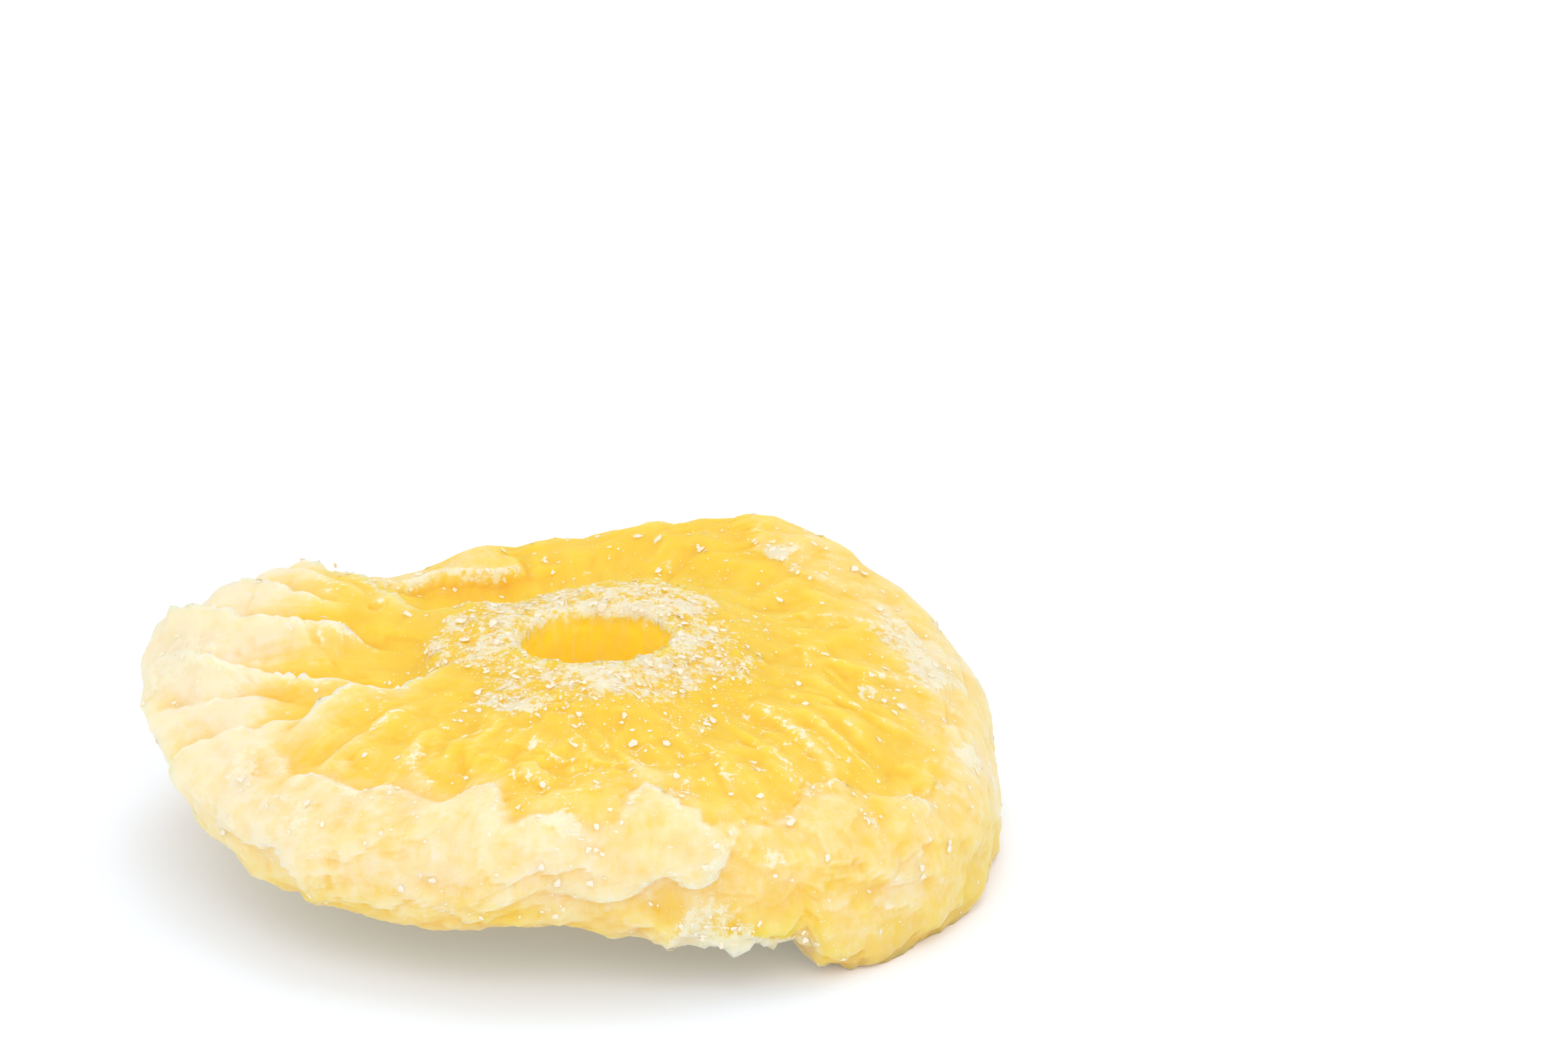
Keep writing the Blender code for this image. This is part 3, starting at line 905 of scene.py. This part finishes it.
def add_node(tree, kind, settings=(), links=()):
    """A node with its settings, by property or by input, and its inputs linked."""
    made = tree.nodes.new("ShaderNode" + kind)
    for name, value in dict(settings).items():
        if isinstance(name, str) and hasattr(made, name):
            setattr(made, name, value)
        else:
            made.inputs[name].default_value = value
    for name, source in dict(links).items():
        tree.links.new(getattr(source, "outputs", [source])[0], made.inputs[name])
    return made


def colour_stops(ramp_node, stops):
    """Sets a ramp's stops from pairs of place and hex colour."""
    ramp = ramp_node.color_ramp
    while len(ramp.elements) < len(stops):
        ramp.elements.new(1.0)
    for element, (place, colour) in zip(ramp.elements, stops):
        element.position = place
        element.color = linear(colour)


print("mid grey in linear light:", round(linear("#808080")[0], 3))

# %% Patterns in the flesh
STREAKS_ROUND = 60.0
STREAKS_ALONG = 2.2
STROKES_ROUND = 26.0
STROKES_ALONG = 4.5
MOTTLE_SIZE = 1.6 * MM
# Real sugar crystals are finer, and these are drawn as coarse as they need to be to show.
CRYSTAL_SIZE = 0.8 * MM
WARP_SIZE = 2.5 * MM
WARP_REACH = 3.0 * MM
VEIN_CELL_SIZE = 2.6 * MM
# A Mix node's colours are its inputs 6 and 7, and its mixed colour is its output 2.
MIX_FIRST = 6
MIX_SECOND = 7
MIX_RESULT = 2


def vein_pattern(tree, place, fibre, mottle):
    """Fine pale veins: cracked cell walls here and there, and strokes along the fibres."""
    soft = {"Scale": 1.0 / WARP_SIZE, "Detail": 3.0}
    warp = add_node(tree, "TexNoise", soft, {"Vector": place})
    reach = {"operation": "MULTIPLY_ADD", 1: (WARP_REACH,) * 3}
    warped = add_node(tree, "VectorMath", reach, {0: warp.outputs["Color"], 2: place})
    walls = {"feature": "DISTANCE_TO_EDGE", "Scale": 1.0 / VEIN_CELL_SIZE}
    cells = add_node(tree, "TexVoronoi", walls, {"Vector": warped})
    cell_walls = add_node(tree, "MapRange", {"From Min": 0.06, "From Max": 0.0}, {"Value": cells})
    patches = add_node(tree, "MapRange", {"From Min": 0.45, "From Max": 0.6}, {"Value": mottle})
    broken_walls = add_node(tree, "Math", {"operation": "MULTIPLY"}, {0: cell_walls, 1: patches})
    stretch = {"Scale": (STROKES_ROUND, STROKES_ROUND, STROKES_ALONG)}
    drawn_out = add_node(tree, "Mapping", stretch, {"Vector": fibre})
    fine = {"Scale": 1.0, "Detail": 6.0, "Roughness": 0.65}
    strokes = add_node(tree, "TexNoise", fine, {"Vector": drawn_out})
    marks = add_node(tree, "MapRange", {"From Min": 0.54, "From Max": 0.66}, {"Value": strokes})
    marks = add_node(tree, "Math", {"operation": "MAXIMUM"}, {0: broken_walls, 1: marks})
    where = add_node(tree, "Attribute", {"attribute_name": "veins"}).outputs["Fac"]
    return add_node(tree, "Math", {"operation": "MULTIPLY"}, {0: marks, 1: where})


print("finest pattern in mm:", CRYSTAL_SIZE / MM)

# %% The flesh material
FLESH_STOPS = (
    (0.0, "#F7CC3E"),
    (0.25, "#F7D151"),
    (0.5, "#F7D67E"),
    (0.75, "#F7DFA6"),
    (1.0, "#F7E6C4"),
)
FROST_COLOUR = "#FDECCB"
# Painted shade: the warmer orange of the foot, where little light comes in.
FOOT_SHADE_COLOUR = "#F9BE62"
# Painted light: the hole's wall gets a brighter gold and a faint golden glow.
HOLE_LIGHTENED_COLOUR = "#FCDC50"
HOLE_GLOW = "#FFD21E"
GLOW_STRENGTH = 0.22
STREAK_WEIGHT = 0.35
MOTTLE_WEIGHT = 0.8
PATTERN_MIDDLE = 0.575
CRYSTAL_WEIGHT = 1.6
VEIN_WEIGHT = 0.55
FROST_FROM = 1.16
FROST_TO = 1.46
STREAK_HEIGHT = 0.5
FROST_HEIGHT = 0.6
BUMP_STRENGTH = 0.28
BUMP_DISTANCE = 0.25 * MM
SCATTER_REACH = 5.0 * MM
SCATTER_BY_COLOUR = (1.0, 0.8, 0.35)


def flesh_colour(tree, streaks, mottle, frosted, wall):
    """Gold to cream by tone, then frost, the foot's painted warm shade and the hole's painted
    brighter wall over it.
    """
    tone = add_node(tree, "Attribute", {"attribute_name": "tone"}).outputs["Fac"]
    weigh = {"operation": "MULTIPLY_ADD"}
    tone = add_node(tree, "Math", {**weigh, 1: STREAK_WEIGHT}, {0: streaks, 2: tone})
    tone = add_node(tree, "Math", {**weigh, 1: MOTTLE_WEIGHT}, {0: mottle, 2: tone})
    tone = add_node(tree, "Math", {"operation": "SUBTRACT", 1: PATTERN_MIDDLE}, {0: tone})
    ramp = add_node(tree, "ValToRGB", links={"Fac": tone})
    colour_stops(ramp, FLESH_STOPS)
    colour = ramp.outputs["Color"]
    # The foot's share of painted shade, a warmer orange.
    foot = add_node(tree, "Attribute", {"attribute_name": "foot"}).outputs["Fac"]
    for share, laid_over in ((frosted, FROST_COLOUR), (foot, FOOT_SHADE_COLOUR), (wall, HOLE_LIGHTENED_COLOUR)):
        settings = {"data_type": "RGBA", MIX_SECOND: linear(laid_over)}
        mix = add_node(tree, "Mix", settings, {"Factor": share, MIX_FIRST: colour})
        colour = mix.outputs[MIX_RESULT]
    return colour


# Pineapple flesh that was cooked in syrup and dried in warm air. Its surface is tacky and
# finely wrinkled, so its highlight is broad and faint, and its sugar lets light in deep.
def flesh_material():
    material = bpy.data.materials.new("sugared_pineapple_flesh")
    material.use_nodes = True
    tree = material.node_tree
    shader = tree.nodes["Principled BSDF"]
    place = add_node(tree, "TexCoord").outputs["Object"]
    fibre = add_node(tree, "Attribute", {"attribute_name": "fibre"}).outputs["Vector"]
    stretch = {"Scale": (STREAKS_ROUND, STREAKS_ROUND, STREAKS_ALONG)}
    stretched = add_node(tree, "Mapping", stretch, {"Vector": fibre})
    fineness = {"Scale": 1.0, "Detail": 4.0, "Roughness": 0.6}
    streaks = add_node(tree, "TexNoise", fineness, {"Vector": stretched})
    fineness = {"Scale": 1.0 / MOTTLE_SIZE, "Detail": 5.0, "Roughness": 0.6}
    mottle = add_node(tree, "TexNoise", fineness, {"Vector": place})
    fineness = {"Scale": 1.0 / CRYSTAL_SIZE, "Detail": 6.0, "Roughness": 0.75}
    crystals = add_node(tree, "TexNoise", fineness, {"Vector": place})

    weigh = {"operation": "MULTIPLY_ADD"}
    frost = add_node(tree, "Attribute", {"attribute_name": "frost"}).outputs["Fac"]
    frost = add_node(tree, "Math", {**weigh, 1: CRYSTAL_WEIGHT}, {0: crystals, 2: frost})
    veins = vein_pattern(tree, place, fibre, mottle)
    frost = add_node(tree, "Math", {**weigh, 1: VEIN_WEIGHT}, {0: veins, 2: frost})
    limits = {"interpolation_type": "SMOOTHSTEP", "From Min": FROST_FROM, "From Max": FROST_TO}
    frosted = add_node(tree, "MapRange", limits, {"Value": frost})
    # The hole's wall share of painted light: a brighter gold and a glow.
    wall = add_node(tree, "Attribute", {"attribute_name": "hole_wall"}).outputs["Fac"]
    colour = flesh_colour(tree, streaks, mottle, frosted, wall)
    tree.links.new(colour, shader.inputs["Base Color"])
    glows = {MIX_FIRST: linear("#000000"), MIX_SECOND: linear(HOLE_GLOW)}
    glow = add_node(tree, "Mix", {"data_type": "RGBA", **glows}, {"Factor": wall})
    tree.links.new(glow.outputs[MIX_RESULT], shader.inputs["Emission Color"])
    shader.inputs["Emission Strength"].default_value = GLOW_STRENGTH

    height = add_node(tree, "Math", {**weigh, 1: STREAK_HEIGHT}, {0: streaks, 2: crystals})
    height = add_node(tree, "Math", {**weigh, 1: FROST_HEIGHT}, {0: frosted, 2: height})
    strength = {"Strength": BUMP_STRENGTH, "Distance": BUMP_DISTANCE}
    surface = add_node(tree, "Bump", strength, {"Height": height})
    tree.links.new(surface.outputs["Normal"], shader.inputs["Normal"])
    shader.inputs["Roughness"].default_value = 0.5
    shader.inputs["IOR"].default_value = 1.45
    shader.inputs["Specular IOR Level"].default_value = 0.35
    shader.inputs["Subsurface Weight"].default_value = 0.95
    shader.inputs["Subsurface Radius"].default_value = SCATTER_BY_COLOUR
    shader.inputs["Subsurface Scale"].default_value = SCATTER_REACH
    return material


slice_piece.data.materials.clear()
slice_piece.data.materials.append(flesh_material())
print("slice's material:", slice_piece.data.materials[0].name)

# %% [markdown]
# ## Sugar grains
#
# Sugar that dried out of the syrup lies on the flesh as small white flakes: a crust of them
# on the core, a few everywhere else. Particles or instances could scatter them, but real
# joined mesh can be exported as it is. One flake is a flat icosphere of 20 faces. It is
# copied to places drawn at random from a fixed seed, more often where there is frost. Each
# copy is dented in its own way, and all the copies are joined into one mesh.

# %% Scatter the grains
# The sizes are half a flake's width, from what nearly all have to what the rarest have.
GRAIN_COUNT = 8000
GRAIN_SIZES = (0.05 * MM, 0.28 * MM)
GRAIN_FLATNESS = 0.18
GRAIN_PROUD = 0.03
GRAIN_RARITY = 7
GRAIN_ROUGHNESS = 0.65
GRAIN_STRETCH = (0.7, 1.3)
GRAIN_LENGTH = 1.3
GRAIN_SEED = 7


def cell_areas(grid):
    """The area around each grid point."""
    along = np.roll(grid, -1, axis=0) - grid
    over = np.roll(grid, -1, axis=1) - grid
    return np.linalg.norm(np.cross(along, over), axis=-1)


def scatter_grains(name, grid, density):
    """Flakes, each dented in its own way and half sunk in the surface, joined as one mesh."""
    rng = np.random.default_rng(GRAIN_SEED)
    chance = (cell_areas(grid) * density).ravel()
    spots = rng.choice(len(chance), GRAIN_COUNT, p=chance / chance.sum())
    small, large = GRAIN_SIZES
    sizes = small + (large - small) * rng.random(GRAIN_COUNT) ** GRAIN_RARITY
    places = grid.reshape(-1, 3)[spots]
    normals = outward(grid).reshape(-1, 3)[spots]
    side = np.cross(normals, rng.normal(size=normals.shape))
    side /= np.linalg.norm(side, axis=1, keepdims=True)
    other = np.cross(normals, side)

    bpy.ops.mesh.primitive_ico_sphere_add(subdivisions=1, radius=1.0)
    piece = bpy.context.object
    piece.name = name
    flake = np.array([v.co[:] for v in piece.data.vertices])
    faces = np.array([p.vertices[:] for p in piece.data.polygons])
    dents = rng.uniform(-1, 1, (GRAIN_COUNT, len(flake), 1))
    rough = flake * (1.0 + GRAIN_ROUGHNESS * dents)
    stretch = rng.uniform(*GRAIN_STRETCH, (GRAIN_COUNT, 1, 1)) * sizes[:, None, None]
    corners = places[:, None] + stretch * (
        rough[..., :1] * side[:, None] * GRAIN_LENGTH
        + rough[..., 1:2] * other[:, None]
        + (rough[..., 2:] * GRAIN_FLATNESS + GRAIN_PROUD) * normals[:, None]
    )
    corners[..., 2] = np.maximum(corners[..., 2], 0.0)
    offsets = np.arange(GRAIN_COUNT)[:, None, None] * len(flake)
    mesh = bpy.data.meshes.new(name)
    mesh.from_pydata(corners.reshape(-1, 3).tolist(), [], (faces + offsets).reshape(-1, 3).tolist())
    piece.data = mesh
    return piece


GRAINS_ANYWHERE = 0.25
GRAINS_ON_FROST = 8.0
GRAINS_ON_CORE = 2.0
GRAINS_ON_TOP = 0.5
FEWER_UNDER = 0.7
FEWER_ON_LIPS = 0.85

density = GRAINS_ANYWHERE + GRAINS_ON_FROST * frost**2 + GRAINS_ON_CORE * core_top
density = density + GRAINS_ON_TOP * upper_side * (1.0 - rim_side)
density = density * (1.0 - FEWER_UNDER * step(-0.7, -0.98, up)) * (1.0 - bare_wall)
density = density * (1.0 - FEWER_ON_LIPS * np.clip(crests + petals / MM, 0.0, 1.0))
grains = scatter_grains("sugar_grains", points, density)
print("grains:", len(grains.data.polygons), "faces")

# %% [markdown]
# ## Sugar
#
# The flakes are crystalline sugar, white with a faint cream cast from the syrup, and a
# little glossy on their faces. Clear crystals would bend light, but at this size that only
# makes noise in the render, so a plain near-white with some gloss stands for them.

# %% The sugar material
SUGAR_COLOUR = "#F7EBD4"


# Sugar that crystallised from drying syrup, so its faces are fairly smooth and catch light.
def sugar_material():
    material = bpy.data.materials.new("dried_sugar")
    material.use_nodes = True
    shader = material.node_tree.nodes["Principled BSDF"]
    shader.inputs["Base Color"].default_value = linear(SUGAR_COLOUR)
    shader.inputs["Roughness"].default_value = 0.4
    shader.inputs["IOR"].default_value = 1.54
    return material


grains.data.materials.append(sugar_material())
print("grains' material:", grains.data.materials[0].name)

# %% [markdown]
# ## Stage, light and camera
#
# The ring lies on a white table in bright, soft light. A white surround fills every
# shadow, a broad light above and a little behind draws the soft shadow forwards, and a
# broader one in front lights the rim's face. The table glows very faintly and coolly,
# like a light table, which keeps the shadow a pale neutral grey. The camera looks down
# on the ring through a long lens. A picture of a studio could light it as well, but plain
# lights are easy to read and to change.

# %% Table
bpy.ops.object.select_all(action="DESELECT")
bpy.ops.mesh.primitive_plane_add(size=4.0, location=(0, 0, 0))
table = bpy.context.object
table.name = "table"

# A matt white coat, too rough to mirror anything, so only the soft shadow shows on it. Its faint
# cool tint and glow are painted light that keeps that shadow pale and neutral grey.
table_paint = bpy.data.materials.new("white_table")
table_paint.use_nodes = True
table_shader = table_paint.node_tree.nodes["Principled BSDF"]
table_shader.inputs["Base Color"].default_value = linear("#F0F6FF")
table_shader.inputs["Roughness"].default_value = 0.9
table_shader.inputs["Specular IOR Level"].default_value = 0.0
table_shader.inputs["Emission Color"].default_value = linear("#DCEAFF")
table_shader.inputs["Emission Strength"].default_value = 0.12
table.data.materials.append(table_paint)
print("table glows:", round(table_shader.inputs["Emission Strength"].default_value, 2))

# %% Light
world = bpy.context.scene.world or bpy.data.worlds.new("white_surround")
bpy.context.scene.world = world
world.use_nodes = True
surround = world.node_tree.nodes["Background"]
surround.inputs["Color"].default_value = linear("#FFFFFF")
surround.inputs["Strength"].default_value = 0.85


def soft_light(name, place, size, power):
    """A square area light that faces the ring."""
    bpy.ops.object.light_add(type="AREA", location=place)
    lamp = bpy.context.object
    lamp.name = name
    lamp.data.shape = "SQUARE"
    lamp.data.size = size
    lamp.data.energy = power
    lamp.rotation_euler = (-Vector(place)).to_track_quat("-Z", "Y").to_euler()
    print(name, "power in W:", power)


soft_light("overhead_softbox", (0.1, 0.15, 0.7), 0.45, 0.75)
soft_light("front_fill", (0.0, -0.62, 0.66), 0.6, 1.8)

# %% Camera
PHOTO_WIDTH = 2353
SENSOR = 36.0
LENS = 200.0
PIXELS_PER_MM = 17.4
CAMERA_ELEVATION = math.radians(22.0)
AIM_FROM_HOLE = (16.3 * MM, 3.3 * MM, 8.0 * MM)

distance = LENS / SENSOR * PHOTO_WIDTH / PIXELS_PER_MM * MM
hole_top = Vector((HOLE_AT[0], HOLE_AT[1], CORE_TOP))
aim = hole_top + Vector(AIM_FROM_HOLE)
back = Vector((0, -math.cos(CAMERA_ELEVATION), math.sin(CAMERA_ELEVATION)))
bpy.ops.object.camera_add(location=aim + back * distance)
camera = bpy.context.object
camera.name = "camera"
camera.rotation_euler = (-back).to_track_quat("-Z", "Y").to_euler()
camera.data.lens = LENS
camera.data.sensor_width = SENSOR
camera.data.clip_end = 20.0
bpy.context.scene.camera = camera
bpy.context.scene.view_settings.view_transform = "Standard"
print("camera distance in mm:", round(distance / MM))

# %% [markdown]
# ## Ride, replace and finish
#
# The ring takes the place of the imported model's solid and rides on its one body, and so do
# the grains. The distance from the finer surface to the solid is measured and printed.

# %% Finish
for piece in (slice_piece, grains):
    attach(piece, "root")
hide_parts(NODE)

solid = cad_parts[NODE]
tree = BVHTree.FromPolygons(
    [v.co for v in solid.data.vertices], [p.vertices for p in solid.data.polygons]
)
gaps = [tree.find_nearest(point)[3] for point in points.reshape(-1, 3)[::40]]
print("from the solid in mm: mean", round(np.mean(gaps) / MM, 2), "most", round(max(gaps) / MM, 2))
